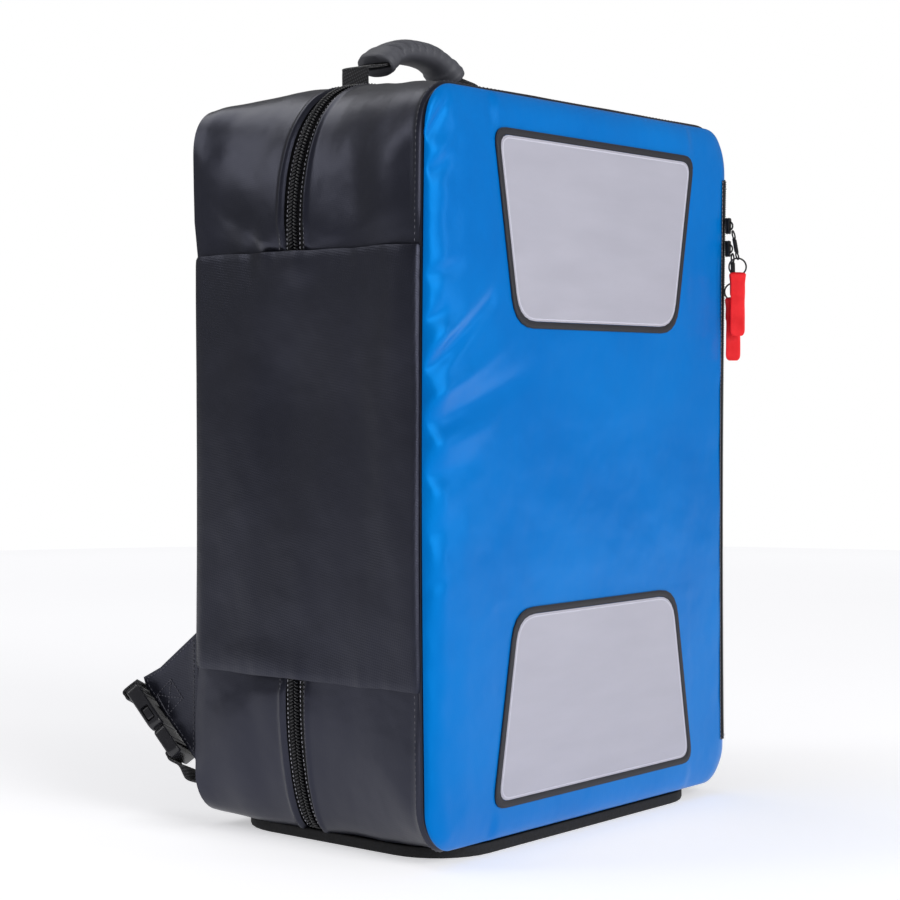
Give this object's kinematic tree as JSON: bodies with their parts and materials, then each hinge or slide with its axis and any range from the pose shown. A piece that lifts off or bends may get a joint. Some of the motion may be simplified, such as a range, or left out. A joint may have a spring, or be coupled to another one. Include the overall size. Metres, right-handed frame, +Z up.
{
  "type": "emergency medical backpack",
  "caption": "Box-shaped tarpaulin medical backpack with a puffed blue front, reflective plates, rim zip, moulded top handle and buckled shoulder straps",
  "frame": {"origin": "centre of the base, on the floor", "axes": "+Z up, the blue front faces -Y, the wearer's back lies on +Y, +X to the right of someone who looks at the front"},
  "size_m": [0.3684, 0.3108, 0.5613],
  "materials": {
    "coated_cloth": "satin coated tarpaulin, black",
    "blue_cloth": "satin coated tarpaulin, blue",
    "base_cloth": "rough dark base cloth",
    "webbing": "twill webbing and zip tape, black",
    "zip_coil": "glossy black coil",
    "reflective": "retroreflective film, light violet grey",
    "plate_edge": "dark border cloth",
    "rubber": "matte dark grey rubber",
    "buckle": "semi-gloss black moulded plastic",
    "metal": "black lacquered metal",
    "red_tab": "soft red plastic-coated tab"
  },
  "bodies": {
    "root": {"base_panel": "base_cloth", "front_gusset": "coated_cloth", "back_gusset": "coated_cloth", "side_panel_left": "coated_cloth", "side_panel_right": "coated_cloth", "main_zip_tape": "webbing", "main_zip_coil": "zip_coil", "main_slider_left": "metal", "main_slider_right": "metal", "main_puller_left": "metal", "main_puller_right": "metal", "front_piping": "coated_cloth", "front_panel": "blue_cloth", "back_panel": "coated_cloth", "plate_border_upper": "plate_edge", "plate_border_lower": "plate_edge", "plate_upper": "reflective", "plate_lower": "reflective", "pocket_zip_tape": "webbing", "pocket_zip_coil": "zip_coil", "pocket_slider_upper": "metal", "pocket_slider_lower": "metal", "pocket_puller_upper": "metal", "pocket_puller_lower": "metal", "pocket_ring_upper": "metal", "pocket_ring_lower": "metal", "pocket_tab_upper": "red_tab", "pocket_tab_lower": "red_tab", "handle_grip": "rubber", "handle_strap": "webbing", "wing_left": "coated_cloth", "wing_right": "coated_cloth", "buckle_socket_left": "buckle", "buckle_socket_right": "buckle", "buckle_plug_left": "buckle", "buckle_plug_right": "buckle", "anchor_webbing_left": "webbing", "anchor_webbing_right": "webbing", "strap_webbing_left": "webbing", "strap_webbing_right": "webbing", "shoulder_strap_left": "coated_cloth", "shoulder_strap_right": "coated_cloth"}
  },
  "joints": []
}
